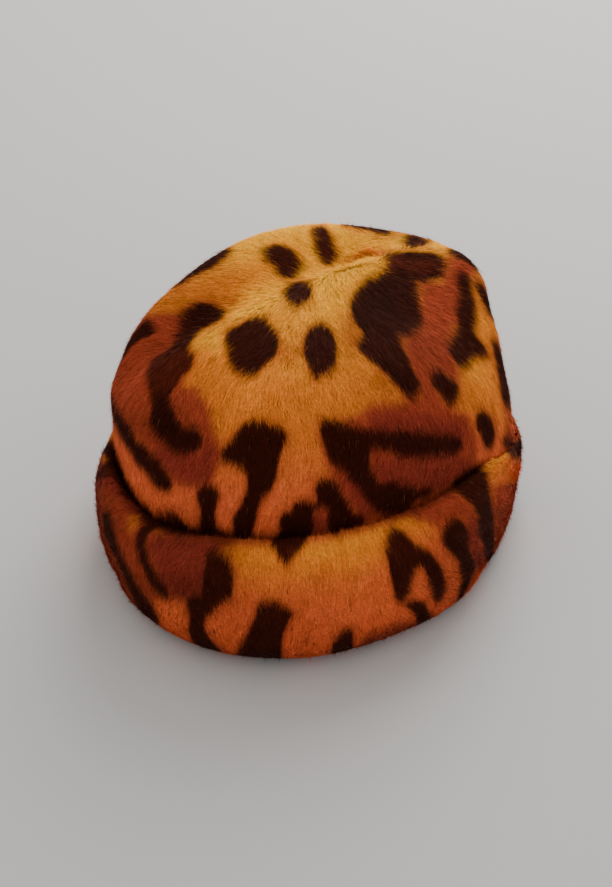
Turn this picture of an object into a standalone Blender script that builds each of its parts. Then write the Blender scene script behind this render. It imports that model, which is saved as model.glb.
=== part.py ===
"""Cuffed beanie in short-pile leopard fur cloth, standing upright as it was set down.

Two sewn pieces: a hollow soft crown, open below, and a thick cuff folded up round
its lower half.  All lengths are in metres, +Z is up and the wearer's front is at -Y.
"""

import math

import bmesh
import bpy
import numpy as np

# Sizes of the crown
CROWN_RIM_Z = 0.0065
CROWN_TOP_Z = 0.1560             # at the middle of the top
CLOTH_WALL = 0.0060              # backing and pile together

# Crown by direction, angle 0 at +X and 270 at the wearer's front: plan radius at the lower
# edge and at the widest ring, height of the widest ring, height of the shoulder and how
# square it is.  Values between rows are eased round the ring.
CROWN_ROWS = (
    # angle  rim_r   wide_r  wide_z  shoulder_z  squareness
    (0.0,   0.1000, 0.1155, 0.0480, 0.1500, 2.6),
    (32.0,  0.1000, 0.1170, 0.0600, 0.1485, 3.9),
    (65.0,  0.0980, 0.1095, 0.0760, 0.1570, 3.9),
    (100.0, 0.0950, 0.1050, 0.0820, 0.1530, 3.6),
    (140.0, 0.0940, 0.0980, 0.0860, 0.1465, 3.1),
    (175.0, 0.0980, 0.1045, 0.0960, 0.1400, 2.6),
    (205.0, 0.1000, 0.1075, 0.0880, 0.1460, 2.6),
    (238.0, 0.0960, 0.1035, 0.0880, 0.1520, 2.4),
    (270.0, 0.0890, 0.0970, 0.0900, 0.1560, 2.3),
    (300.0, 0.0890, 0.0970, 0.0900, 0.1560, 2.5),
    (330.0, 0.0930, 0.1035, 0.0740, 0.1540, 2.7),
)

# Sizes of the cuff
CUFF_FOOT_THICK = 0.0060         # the fold that passes under the crown's edge
ROLL_WAIST = 0.48                # height of its fullest ring, as a share of the crest
ROLL_SQUARENESS = 2.4            # exponent of its superellipse
CREST_SHARE = 0.22               # where the crest stands between the crown and the outside
GROUND_SHARE = 0.40              # where the ground contact ends, between the same two
CREASE_DEPTH = 0.24              # how deep the crease sits, as a share of the thickness
SEAT_GAP = 0.0004                # clearance between the two pieces

# Facets
AROUND = 72
CROWN_OUTER_RINGS = 30
CROWN_INNER_RINGS = 15
CUFF_ROLL_STEPS = 13
WIDEST_SHARE = 0.34              # share of the rings that lies below the widest ring

# Cuff by direction: plan radius outside, height of its crest and how far the top leans
# away from the crown
CUFF_ROWS = (
    # angle  outer_r  crest_z  lean
    (15.0,  0.1255, 0.0500, 0.0000),
    (60.0,  0.1195, 0.0550, 0.0000),
    (100.0, 0.1172, 0.0600, 0.0000),
    (135.0, 0.1120, 0.0600, 0.0000),
    (168.0, 0.1130, 0.0555, 0.0000),
    (192.0, 0.1190, 0.0660, 0.0020),
    (220.0, 0.1285, 0.0625, 0.0000),
    (244.0, 0.1335, 0.0730, 0.0000),
    (270.0, 0.1290, 0.0780, 0.0000),
    (295.0, 0.1210, 0.0800, 0.0000),
    (318.0, 0.1200, 0.0805, 0.0000),
    (337.0, 0.1170, 0.0780, 0.0000),
    (355.0, 0.1190, 0.0600, 0.0000),
)

# Folds across the top: plan line, half-width across, and lift (down is negative)
CROWN_FOLDS = (
    # name, line of (x, y) points, half_width, lift
    ("front ridge", ((-0.078, -0.036), (-0.044, -0.018), (-0.003, 0.011), (0.038, 0.034),
                     (0.088, 0.052)), 0.013, 0.0045),
    ("back hollow", ((-0.098, -0.014), (-0.050, 0.006), (-0.005, 0.036), (0.024, 0.052)),
     0.018, -0.0130),
)

FOLDS_FADE_IN_Z = 0.085          # the folds fade out down the side
FOLDS_FADE_OVER = 0.035
SWELL_CENTRE = np.array((0.0, 0.0, 0.060))

# Broad swells and dents: centre, reach along, across and up, turn in plan, push outwards
CROWN_SWELLS = (
    # name, (x, y, z), reach_along, reach_across, reach_up, turn_deg, push
    ("back right corner", (0.082, 0.062, 0.146), 0.032, 0.032, 0.030, 35.0, 0.0070),
)


def ease_round(rows, column, angle_deg):
    """Value of one column at an angle, eased between the rows round the ring."""
    angle_deg = angle_deg % 360.0
    count = len(rows)
    for i in range(count):
        a0 = rows[i][0]
        a1 = rows[(i + 1) % count][0]
        span = (a1 - a0) % 360.0
        into = (angle_deg - a0) % 360.0
        if into <= span:
            t = into / span
            p0 = rows[(i - 1) % count][column]
            p1 = rows[i][column]
            p2 = rows[(i + 1) % count][column]
            p3 = rows[(i + 2) % count][column]
            return p1 + 0.5 * t * (p2 - p0 + t * (2 * p0 - 5 * p1 + 4 * p2 - p3
                                                  + t * (3 * (p1 - p2) + p3 - p0)))
    return rows[0][column]


def smooth_line(line, cuts=6):
    """Plan line with rounded bends through the given points."""
    ends = [(2 * line[0][0] - line[1][0], 2 * line[0][1] - line[1][1])]
    tail = [(2 * line[-1][0] - line[-2][0], 2 * line[-1][1] - line[-2][1])]
    knots = [np.array(p) for p in ends + list(line) + tail]
    points = []
    for p0, p1, p2, p3 in zip(knots[:-3], knots[1:-2], knots[2:-1], knots[3:]):
        for k in range(cuts):
            t = k / cuts
            points.append(p1 + 0.5 * t * (p2 - p0 + t * (2 * p0 - 5 * p1 + 4 * p2 - p3
                                                         + t * (3 * (p1 - p2) + p3 - p0))))
    points.append(knots[-2])
    return np.array(points)


def line_weight(point, line, half_width):
    """Closeness to a plan line, 1 on it and falling off smoothly, softer past its ends."""
    start, step = line[:-1], np.diff(line, axis=0)
    away = point - start
    share = np.clip((away * step).sum(axis=1) / (step * step).sum(axis=1), 0.0, 1.0)
    gap = np.linalg.norm(away - share[:, None] * step, axis=1)
    return math.exp(-(gap.min() / half_width) ** 2)


def dome_point(angle, share):
    """Plain dome: share 0 is the lower edge, 1 the top."""
    degrees = math.degrees(angle)
    rim_r, wide_r, wide_z, shoulder_z, squareness = (
        ease_round(CROWN_ROWS, column, degrees) for column in range(1, 6))
    if share < WIDEST_SHARE:
        t = share / WIDEST_SHARE
        z = CROWN_RIM_Z + (wide_z - CROWN_RIM_Z) * t
        radius = wide_r - (wide_r - rim_r) * (1.0 - t) ** 2
    else:
        t = (share - WIDEST_SHARE) / (1.0 - WIDEST_SHARE)
        turn = 0.5 * math.pi * t
        c, s = max(0.0, math.cos(turn)), math.sin(turn)
        reach = (c ** squareness + s ** squareness) ** (-1.0 / squareness)
        radius = wide_r * reach * c
        top = shoulder_z + (CROWN_TOP_Z - shoulder_z) * t * t * (3.0 - 2.0 * t)
        z = wide_z + (top - wide_z) * reach * s
    return np.array((radius * math.cos(angle), radius * math.sin(angle), z))


FOLD_LINES = [(smooth_line(line), half_width, lift)
              for _name, line, half_width, lift in CROWN_FOLDS]


def crown_point(angle, share):
    """Outer face of the crown with its swells, dents and folds."""
    p = dome_point(angle, share)
    outward = p - SWELL_CENTRE
    outward /= np.linalg.norm(outward)
    push = 0.0
    for _name, centre, along, across, up, turn_deg, amount in CROWN_SWELLS:
        d = p - np.array(centre)
        c, s = math.cos(math.radians(turn_deg)), math.sin(math.radians(turn_deg))
        a = (d[0] * c + d[1] * s) / along
        b = (d[1] * c - d[0] * s) / across
        push += amount * math.exp(-a * a - b * b - (d[2] / up) ** 2)
    p = p + outward * push
    high = min(1.0, max(0.0, (p[2] - FOLDS_FADE_IN_Z) / FOLDS_FADE_OVER))
    high = high * high * (3.0 - 2.0 * high)
    p[2] += high * sum(lift * line_weight(p[:2], line, half_width)
                       for line, half_width, lift in FOLD_LINES)
    return p


def crown_normal(angle, share):
    """Outward direction of the crown's face, from small steps along it."""
    step = 0.004
    low, high = max(0.0, share - step), min(0.996, share + step)
    along = crown_point(angle, high) - crown_point(angle, low)
    across = crown_point(angle + step, share) - crown_point(angle - step, share)
    n = np.cross(across, along)
    size = np.linalg.norm(n)
    if size < 1e-12:
        return np.array((0.0, 0.0, 1.0))
    return n / size


def crown_radius_at(angle, z):
    """Plan radius of the crown's outer face at a height below its widest ring."""
    z = max(CROWN_RIM_Z, z)
    low, high = 0.0, WIDEST_SHARE
    for _ in range(30):
        mid = 0.5 * (low + high)
        if crown_point(angle, mid)[2] < z:
            low = mid
        else:
            high = mid
    p = crown_point(angle, 0.5 * (low + high))
    return math.hypot(p[0], p[1])


def closed_mesh(name, rings, caps, loop=False):
    """Join rings of points into one closed body; caps holds a point or None for each end."""
    mesh = bpy.data.meshes.new(name)
    body = bmesh.new()
    rows = [[body.verts.new(tuple(p)) for p in ring] for ring in rings]
    count = len(rings[0])
    pairs = list(zip(rows[:-1], rows[1:]))
    if loop:
        pairs.append((rows[-1], rows[0]))
    for lower, upper in pairs:
        for i in range(count):
            j = (i + 1) % count
            body.faces.new((lower[i], lower[j], upper[j], upper[i]))
    for row, cap in zip((rows[0], rows[-1]), caps):
        if cap is None:
            continue
        tip = body.verts.new(tuple(cap))
        for i in range(count):
            body.faces.new((row[i], row[(i + 1) % count], tip))
    bmesh.ops.recalc_face_normals(body, faces=body.faces)
    bmesh.ops.triangulate(body, faces=body.faces)
    for face in body.faces:
        face.smooth = True
    body.to_mesh(mesh)
    body.free()
    thing = bpy.data.objects.new(name, mesh)
    bpy.context.scene.collection.objects.link(thing)
    return thing


def plain_material(name, colour, roughness):
    material = bpy.data.materials.new(name)
    material.use_nodes = True
    shader = material.node_tree.nodes["Principled BSDF"]
    shader.inputs["Base Color"].default_value = (*colour, 1.0)
    shader.inputs["Roughness"].default_value = roughness
    return material


def build_crown(material):
    """Hollow dome: outer rings from the edge up, inner rings back down to the edge."""
    angles = [2.0 * math.pi * i / AROUND for i in range(AROUND)]
    outer = []
    for k in range(CROWN_OUTER_RINGS):
        share = k / CROWN_OUTER_RINGS
        outer.append([crown_point(a, share) for a in angles])
    inner = []
    for k in range(CROWN_INNER_RINGS):
        share = k / CROWN_INNER_RINGS
        ring = []
        for a in angles:
            p = crown_point(a, share) - crown_normal(a, share) * CLOTH_WALL
            if k == 0:
                p[2] = CROWN_RIM_Z
            ring.append(p)
        inner.append(ring)
    top = crown_point(0.0, 1.0)
    under_top = top - np.array((0.0, 0.0, CLOTH_WALL))
    rings = outer[::-1] + inner
    crown = closed_mesh("crown", rings, (top, under_top))
    crown.data.materials.append(material)
    return crown


def cuff_section(angle):
    """Closed outline of the cuff in one plan direction, as (radius, z) pairs."""
    degrees = math.degrees(angle)
    outer, crest, lean = (ease_round(CUFF_ROWS, column, degrees) for column in (1, 2, 3))
    rim = crown_radius_at(angle, CROWN_RIM_Z)
    foot_in = rim - CLOTH_WALL
    waist = ROLL_WAIST * crest
    thick = outer - crown_radius_at(angle, crest)
    crest_r = outer - (1.0 - CREST_SHARE) * thick
    ground_r = outer - (1.0 - GROUND_SHARE) * (outer - rim)
    power = 2.0 / ROLL_SQUARENESS
    points = [(foot_in + 0.0015, 0.0)]
    # Outer side: one soft roll from the ground to the crest
    for k in range(CUFF_ROLL_STEPS):
        turn = math.pi * (k / (CUFF_ROLL_STEPS - 1) - 0.5)
        c, s = max(0.0, math.cos(turn)) ** power, abs(math.sin(turn)) ** power
        if turn < 0.0:
            radius = ground_r + (outer - ground_r) * c
            z = waist * (1.0 - s)
        else:
            radius = crest_r + (outer - crest_r) * c
            z = waist + (crest - waist) * s
        points.append((radius + lean * (z / crest) ** 2, z))
    # Inner side: into the crease, then close along the crown down to the foot
    crease = crest - CREASE_DEPTH * thick
    for share in (1.0, 0.85, 0.68, 0.50, 0.33, 0.18):
        z = CUFF_FOOT_THICK + (crease - CUFF_FOOT_THICK) * share
        opened = lean * share ** 3
        points.append((crown_radius_at(angle, z) + SEAT_GAP + opened, z))
    points.append((rim + SEAT_GAP, CUFF_FOOT_THICK))
    points.append((foot_in, CUFF_FOOT_THICK))
    points.append((foot_in, 0.0015))
    return points


def build_cuff(material):
    """Ring of sections round the crown's lower half."""
    angles = [2.0 * math.pi * i / AROUND for i in range(AROUND)]
    sections = [cuff_section(a) for a in angles]
    rings = []
    for k in range(len(sections[0])):
        rings.append([(s[k][0] * math.cos(a), s[k][0] * math.sin(a), s[k][1])
                      for s, a in zip(sections, angles)])
    cuff = closed_mesh("cuff", rings, (None, None), loop=True)
    cuff.data.materials.append(material)
    return cuff


def centre_in_plan(things):
    """Put the middle of the hat's plan box over the origin."""
    points = np.array([v.co for thing in things for v in thing.data.vertices])
    middle = 0.5 * (points.min(axis=0) + points.max(axis=0))
    for thing in things:
        for v in thing.data.vertices:
            v.co.x -= middle[0]
            v.co.y -= middle[1]


for old in list(bpy.data.objects):
    bpy.data.objects.remove(old, do_unlink=True)

crown_fur = plain_material("crown_fur", (0.50, 0.22, 0.06), 0.9)
cuff_fur = plain_material("cuff_fur", (0.44, 0.18, 0.05), 0.9)
crown = build_crown(crown_fur)
cuff = build_cuff(cuff_fur)
centre_in_plan((crown, cuff))
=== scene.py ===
"""Looks of a cuffed leopard-fur beanie: backing skins, combed fur strands, print and stage."""

import math

import bpy
import numpy as np
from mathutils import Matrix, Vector
from mathutils.bvhtree import BVHTree


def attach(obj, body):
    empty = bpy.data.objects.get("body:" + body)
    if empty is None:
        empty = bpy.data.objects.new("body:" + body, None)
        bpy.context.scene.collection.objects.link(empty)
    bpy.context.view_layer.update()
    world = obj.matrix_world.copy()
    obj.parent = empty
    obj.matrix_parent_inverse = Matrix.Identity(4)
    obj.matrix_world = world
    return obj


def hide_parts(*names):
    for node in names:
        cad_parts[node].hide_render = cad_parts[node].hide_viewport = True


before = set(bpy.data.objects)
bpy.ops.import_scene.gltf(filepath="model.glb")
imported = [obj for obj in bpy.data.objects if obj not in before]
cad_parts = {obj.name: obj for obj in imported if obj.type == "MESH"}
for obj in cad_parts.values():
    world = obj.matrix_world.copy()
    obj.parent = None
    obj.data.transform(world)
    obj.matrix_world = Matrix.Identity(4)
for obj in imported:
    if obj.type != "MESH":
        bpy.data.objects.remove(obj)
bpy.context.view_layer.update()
RNG = np.random.default_rng(20)

# Camera, in metres and degrees; the picture is 612 by 887 pixels
PICTURE_W, PICTURE_H = 612.0, 887.0
CAMERA_DISTANCE = 1.25
CAMERA_ELEVATION = math.radians(40.0)
FOCAL_PIXELS = 2225.0
SENSOR = 36.0

# Middle of the crown's plan and of its rays
AXIS = np.array((-0.0027, 0.0059))
CROWN_EYE = np.array((AXIS[0], AXIS[1], 0.060))
CAMERA_TARGET = np.array((AXIS[0] + 0.0001, AXIS[1] - 0.0005, 0.0550))
CROWN_LOWEST_RAY = math.radians(-27.0)

# Fur
FUR_SINK = 0.0008                # lying hairs keep this far under the cloth's outer face
SPOT_SPREAD = 0.0006             # dark hairs reach this far past their charted outlines
PILE_DEPTH = 0.0013              # backing skin under the lying hairs
HAIR_LENGTH = 0.0095
HAIR_HALF_WIDTH = 0.00015
HAIRS_PER_PIECE = 90000
CROWN_HAIR_PIECES = 3
CUFF_HAIR_PIECES = 2

# Colours, linear
# painted light: the palest tan is a painted highlight tone and the deepest tan a painted shade tone,
# chosen by how the pile faces the light
TAN_PAINTED_LIGHT = np.array((0.950, 0.435, 0.020))
TAN = np.array((0.750, 0.210, 0.024))
TAN_PAINTED_SHADE = np.array((0.800, 0.146, 0.046))
BROWN = np.array((0.380, 0.057, 0.023))
UMBER = np.array((0.275, 0.036, 0.020))
SPOT = np.array((0.039, 0.0066, 0.0032))
GUARD_HAIR = np.array((0.300, 0.120, 0.045))         # the few long light hairs among the dark
BACKING = np.array((0.120, 0.048, 0.020))

# Gaps in metres over which one colour of the print gives way to the next: none, all
SPOT_EDGE = (0.0008, -0.0008)
HALO_EDGE = (0.0040, 0.0)        # brown tips round the dark spots
BROWN_EDGE = (0.0032, -0.0028)
UMBER_EDGE = (0.0034, -0.0030)
MIXED_EDGE = (0.0020, -0.0020)
FAR_GAP = 0.02                   # no print reaches further than this

# Scattered spots, in metres
SCATTER_TRIES = 4000
SCATTER_SPACING = 0.031

# Rays that read the solids, in metres
RAY_START = 0.3                  # outside every face
ROLL_LEVEL = 0.032               # the cuff's roll is read across at this height
ABOVE_CUFF = 0.15


def unit(v):
    """Vectors of length 1 along the last axis."""
    return v / np.maximum(np.linalg.norm(v, axis=-1, keepdims=True), 1e-12)


def dot(a, b):
    return (a * b).sum(axis=-1)


def smooth(low, high, x):
    t = np.clip((x - low) / (high - low), 0.0, 1.0)
    return t * t * (3.0 - 2.0 * t)


def mix(a, b, t):
    return a + (b - a) * t


# Noise

def lattice(cell, seed):
    """Repeatable value from 0 to 1 for each whole-number cell."""
    h = (cell[..., 0] * 73856093) ^ (cell[..., 1] * 19349663) ^ (cell[..., 2] * 83492791)
    h = (h ^ (seed * 2654435761)) & 0x7FFFFFFF
    h = (h ^ (h >> 13)) * 1274126177 & 0x7FFFFFFF
    h = (h ^ (h >> 16)) & 0xFFFF
    return h / 65535.0


def noise(points, size, seed):
    """Smooth noise from -1 to 1 with features of the given size in metres."""
    q = points / size
    cell = np.floor(q).astype(np.int64)
    f = q - cell
    f = f * f * (3.0 - 2.0 * f)
    total = np.zeros(points.shape[:-1])
    for corner in range(8):
        step = np.array((corner & 1, corner >> 1 & 1, corner >> 2 & 1))
        weight = np.prod(np.where(step == 1, f, 1.0 - f), axis=-1)
        total += weight * lattice(cell + step, seed)
    return 2.0 * total - 1.0


# Camera maths, for placing the print where the front view shows it

VIEW_FORWARD = np.array((0.0, math.cos(CAMERA_ELEVATION), -math.sin(CAMERA_ELEVATION)))
VIEW_UP = np.array((0.0, math.sin(CAMERA_ELEVATION), math.cos(CAMERA_ELEVATION)))
CAMERA_PLACE = CAMERA_TARGET - VIEW_FORWARD * CAMERA_DISTANCE


def front_view(points):
    """Picture position of points, in pixels from the top left."""
    d = points - CAMERA_PLACE
    depth = d @ VIEW_FORWARD
    x = PICTURE_W / 2 + FOCAL_PIXELS * d[..., 0] / depth
    y = PICTURE_H / 2 - FOCAL_PIXELS * (d @ VIEW_UP) / depth
    return np.stack((x, y), axis=-1)


def facing(points, normals):
    """1 where the face looks at the camera, -1 where it looks away."""
    return dot(normals, unit(CAMERA_PLACE - points))


# The print, charted in the front view: each patch is an outline of (x, y) points in
# the 612 by 887 picture, each stroke a chain of (x, y, half width)

SPOTS = (
    # top of the hat
    ((313, 231), (321, 228), (329, 235), (335, 247), (337, 260), (329, 267), (320, 262), (314, 248)),
    ((263, 252), (272, 247), (285, 248), (297, 256), (301, 268), (297, 279), (284, 279), (275, 271),
     (273, 264), (264, 262), (268, 257)),
    ((285, 294), (291, 286), (304, 283), (311, 289), (309, 299), (298, 308), (288, 302)),
    ((405, 238), (412, 237), (420, 239), (428, 243), (422, 247), (412, 248), (405, 245)),
    # front panel, upper left
    ((227, 335), (233, 330), (243, 326), (250, 321), (258, 319), (265, 318), (268, 325), (274, 331),
     (278, 340), (278, 348), (274, 357), (260, 370), (254, 376), (248, 377), (240, 374), (232, 367),
     (228, 350), (225, 342)),
    ((306, 338), (311, 328), (320, 325), (330, 331), (336, 348), (335, 366), (327, 374), (317, 380),
     (307, 364), (304, 350)),
    # large spot right of the middle, and those beside it
    ((388, 255), (400, 254), (414, 254), (432, 255), (440, 258), (444, 265), (444, 272), (441, 277),
     (425, 283),
     (418, 282), (416, 286), (418, 303), (422, 322), (418, 330), (410, 335), (401, 338), (400, 348),
     (409, 363), (410, 371), (419, 384), (419, 391), (416, 397), (410, 400), (405, 396), (400, 388),
     (390, 377), (370, 360), (360, 352), (358, 346), (361, 340), (366, 335), (355, 322), (351, 308),
     (354, 299), (358, 291), (365, 284), (382, 275), (388, 268)),
    ((457, 278), (459, 273), (463, 272), (467, 277), (470, 292), (475, 310), (472, 328), (472, 336),
     (483, 348), (486, 357), (482, 359), (472, 357), (469, 364), (464, 369), (459, 367), (449, 354),
     (448, 347), (457, 328), (455, 309), (458, 290)),
    ((432, 374), (438, 372), (449, 380), (455, 383), (457, 389), (456, 397), (453, 404), (448, 406),
     (438, 392), (431, 386), (430, 380)),
    ((474, 419), (481, 411), (488, 416), (493, 434), (490, 446), (485, 448), (477, 430)),
    ((500, 441), (505, 437), (512, 442), (523, 446), (523, 461), (517, 463), (509, 454), (503, 448)),
    # left of the front
    ((180, 322), (183, 312), (190, 308), (198, 304), (208, 305), (216, 307), (225, 314), (224, 318),
     (216, 324), (206, 329), (199, 333), (188, 347), (193, 357), (190, 370), (182, 377), (170, 394),
     (170, 402), (177, 420), (184, 428), (193, 428), (199, 432), (204, 441), (198, 450), (184, 455),
     (171, 450), (155, 431), (151, 421), (154, 410), (149, 385), (150, 368), (155, 360), (172, 351),
     (176, 343), (177, 334)),
    ((147, 321), (152, 323), (155, 333), (150, 337), (143, 337), (131, 348), (123, 361), (120, 358),
     (127, 348), (132, 340)),
    ((108, 398), (113, 400), (119, 411), (133, 430), (137, 440), (146, 447), (160, 462), (172, 481),
     (172, 489), (166, 491), (158, 486), (146, 468), (138, 464), (136, 456), (123, 437), (118, 425)),
    ((200, 490), (204, 486), (212, 485), (218, 489), (219, 495), (214, 510), (216, 527), (226, 533),
     (226, 539), (196, 536), (202, 524), (203, 510), (198, 495)),
    ((158, 520), (163, 512), (170, 510), (178, 514), (184, 522), (190, 528), (199, 530), (199, 537),
     (170, 534), (158, 529)),
    ((221, 454), (230, 444), (238, 434), (244, 425), (254, 421), (286, 430), (285, 442), (280, 454),
     (275, 476), (271, 490), (262, 499), (257, 508), (255, 520), (250, 539), (236, 539), (234, 518),
     (241, 507), (249, 488), (249, 478), (245, 470), (234, 464), (224, 461)),
    # foot of the front, over the fold
    ((296, 502), (303, 500), (320, 504), (319, 508), (311, 510), (313, 527), (303, 546), (292, 558),
     (286, 565), (281, 558), (272, 545), (273, 540), (280, 536), (281, 518), (285, 512), (291, 511)),
    ((315, 490), (317, 484), (322, 480), (331, 479), (336, 482), (344, 497), (353, 511), (364, 517),
     (361, 525), (341, 531), (338, 535), (331, 535), (328, 526), (328, 510), (322, 505)),
    ((319, 428), (323, 420), (332, 421), (365, 430), (400, 432), (455, 436), (461, 441), (460, 450),
     (452, 454), (430, 456), (410, 458), (400, 457), (390, 451), (367, 450), (368, 465), (376, 482),
     (395, 480), (414, 488), (430, 488), (431, 493), (415, 500), (402, 511), (388, 516), (378, 514),
     (360, 492), (345, 472), (331, 463), (326, 447)),
    # left of the cuff
    ((112, 443), (117, 449), (126, 478), (138, 500), (150, 509), (158, 527), (149, 533), (146, 541),
     (148, 556), (153, 570), (167, 588), (169, 597), (165, 598), (150, 580), (140, 556), (137, 546),
     (138, 537), (145, 526), (141, 512), (124, 496), (119, 484), (112, 477), (100, 479), (98, 474),
     (109, 462), (105, 452)),
    ((104, 514), (110, 512), (114, 532), (122, 557), (141, 590), (153, 606), (160, 619), (158, 624),
     (142, 611), (131, 588), (120, 562), (108, 538)),
    ((211, 549), (216, 553), (222, 556), (228, 562), (232, 570), (233, 590), (230, 597), (214, 608),
     (204, 620), (204, 628), (212, 642), (222, 650), (206, 652), (193, 638), (190, 628), (192, 618),
     (187, 600), (192, 597), (204, 596), (205, 575), (208, 554)),
    # middle of the cuff
    ((258, 606), (264, 602), (274, 601), (286, 607), (294, 613), (288, 619), (281, 635), (280, 660),
     (234, 660), (248, 634), (257, 616)),
    ((330, 658), (335, 640), (343, 630), (351, 628), (352, 656)),
    # right of the cuff
    ((388, 533), (393, 530), (401, 532), (411, 543), (428, 553), (440, 568), (445, 587), (441, 598),
     (436, 602), (432, 595), (427, 573), (423, 567), (416, 566), (411, 575), (408, 590), (402, 601),
     (396, 598), (390, 570), (386, 550)),
    ((405, 605), (413, 600), (422, 601), (430, 616), (418, 626), (415, 611)),
    ((444, 528), (450, 521), (457, 520), (463, 525), (467, 533), (466, 548), (474, 566), (467, 584),
     (457, 600), (461, 580), (458, 558), (442, 542)),
    ((449, 488), (452, 482), (462, 472), (474, 466), (479, 467), (484, 474), (489, 495), (491, 520),
     (492, 540), (490, 558), (486, 560), (482, 541), (478, 535), (477, 515), (469, 501), (458, 493)),
)
STROKES = (
    # far edges of the top and the right
    ((178, 286, 1), (190, 276, 2.5), (205, 266, 5), (216, 261, 4), (227, 253, 3)),
    ((344, 225, 1.5), (358, 226, 3), (370, 228, 3.5), (382, 232, 3.5), (389, 234, 2)),
    ((450, 253, 2), (464, 258, 3), (470, 263, 3), (476, 271, 2)),
    ((477, 287, 3), (482, 297, 3), (488, 309, 2), (492, 320, 1)),
    ((493, 343, 2), (500, 370, 3), (505, 397, 4), (507, 405, 3)),
    # painted shadow: a dark line along the fold between crown and cuff
    ((186, 532, 1), (200, 533, 2), (228, 537, 2), (250, 538, 1), (272, 539, 1)),
)
BROWNS = (
    ((138, 320), (160, 314), (180, 314), (184, 330), (180, 345), (192, 352), (180, 385), (196, 388),
     (206, 400), (211, 414), (213, 430), (220, 444), (221, 458), (212, 484), (196, 488), (178, 484),
     (168, 470), (132, 428), (104, 398), (104, 372), (118, 345)),
    ((420, 284), (440, 283), (447, 270), (447, 256), (470, 260), (482, 274), (468, 280), (458, 284),
     (457, 320), (448, 345), (460, 374), (458, 384), (440, 374), (430, 378), (436, 392), (448, 408),
     (466, 414), (478, 448), (474, 462), (450, 486), (430, 494), (404, 488), (374, 486), (362, 450),
     (326, 424), (352, 416), (372, 406), (398, 402), (420, 398), (402, 348), (404, 338), (420, 330)),
    ((320, 436), (330, 450), (344, 470), (380, 500), (384, 516), (364, 518), (342, 490), (326, 462)),
    ((502, 408), (514, 412), (526, 440), (512, 446), (502, 440), (507, 424)),
    ((90, 476), (112, 474), (122, 492), (134, 508), (146, 530), (150, 570), (168, 598), (150, 602),
     (134, 608), (104, 570), (88, 510)),
    ((388, 518), (404, 508), (452, 490), (468, 500), (478, 520), (480, 545), (486, 562), (474, 566),
     (468, 550), (467, 530), (460, 520), (448, 520), (440, 530), (432, 524), (410, 519)),
    ((492, 486), (508, 482), (520, 480), (514, 520), (500, 560), (488, 566), (492, 530)),
    ((350, 656), (364, 636), (400, 620), (430, 622), (400, 650)),
)
UMBERS = (
    ((150, 438), (166, 450), (200, 456), (208, 440), (220, 450), (214, 470), (208, 484), (188, 484),
     (174, 478), (160, 460)),
    ((372, 414), (400, 410), (440, 416), (464, 424), (466, 440), (366, 436)),
    ((370, 454), (400, 460), (456, 456), (474, 462), (452, 484), (430, 492), (404, 484), (378, 480)),
    ((336, 470), (350, 480), (374, 500), (378, 514), (362, 516), (352, 502)),
    ((312, 512), (324, 508), (330, 532), (310, 532)),
    ((100, 458), (124, 476), (136, 502), (146, 528), (138, 540), (122, 496), (98, 486)),
    ((148, 530), (180, 536), (214, 540), (234, 544), (210, 554), (206, 596), (186, 600), (170, 598),
     (158, 578), (148, 552)),
    ((469, 520), (477, 520), (480, 545), (486, 558), (478, 572), (472, 562), (467, 545)),
)
MIXED = (
    # dark patches with brown hairs among the black
    ((150, 368), (158, 356), (176, 351), (190, 349), (195, 358), (190, 372), (178, 384), (170, 394),
     (152, 394)),
    ((388, 254), (402, 254), (404, 266), (396, 272), (386, 274)),
    ((404, 262), (432, 260), (438, 268), (428, 274), (408, 274)),
    ((158, 510), (178, 510), (176, 520), (160, 524)),
    ((98, 470), (112, 466), (120, 478), (112, 486), (98, 482)),
)
TANS = (
    # pale gaps inside the brown
    ((130, 516), (138, 514), (139, 528), (135, 536), (130, 528)),
    ((488, 452), (500, 447), (516, 456), (515, 470), (508, 482), (498, 480), (486, 466)),
    ((390, 522), (405, 521), (425, 528), (430, 537), (424, 542), (405, 536), (394, 531)),
)
CREASES = (
    # groove lines of the front view: chain, depth in metres
    (((343, 264, 1), (355, 257, 1), (367, 253, 1), (378, 254, 0.5)), 0.0016),
    (((309, 384, 0.5), (312, 408, 0.5)), 0.0005),
    (((152, 543, 1), (186, 545, 1), (206, 551, 1), (220, 549, 0.5)), 0.0014),
)
CROWN_PAINTED_SHADING = (
    # painted highlight and painted shade areas of the pile, among them painted shadow in the crease
    # behind the ridge: x, y, reach_x, reach_y, gain
    (338, 254, 50, 30, 0.34),
    (252, 306, 16, 14, 0.30),
    (208, 344, 26, 12, 0.30),
    (172, 300, 44, 22, -0.30),
    (222, 276, 26, 14, -0.16),
    (234, 303, 26, 8, -0.26),
    (343, 266, 4, 2.5, -0.50),
    (350, 261.5, 5, 2.5, -0.60),
    (358, 258.5, 6, 2.5, -0.48),
    (367, 256, 7, 2.5, -0.48),
    (377, 256, 6, 2.5, -0.30),
    (385, 255, 5, 3, -0.30),
    (304, 330, 46, 20, -0.10),
    (350, 336, 12, 30, -0.30),
    (286, 354, 20, 13, -0.24),
    (140, 390, 16, 20, 0.22),
    (440, 318, 14, 20, 0.08),
    (382, 302, 24, 34, -0.30),
    (414, 346, 12, 16, -0.20),
    (386, 386, 24, 18, -0.36),
    (246, 404, 16, 24, 0.18),
    (436, 356, 22, 26, -0.28),
    (468, 394, 12, 12, -0.12),
    (160, 350, 16, 14, -0.28),
    (156, 426, 40, 12, -0.26),
    (444, 490, 20, 12, -0.30),
    (192, 516, 22, 12, -0.22),
)
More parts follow.
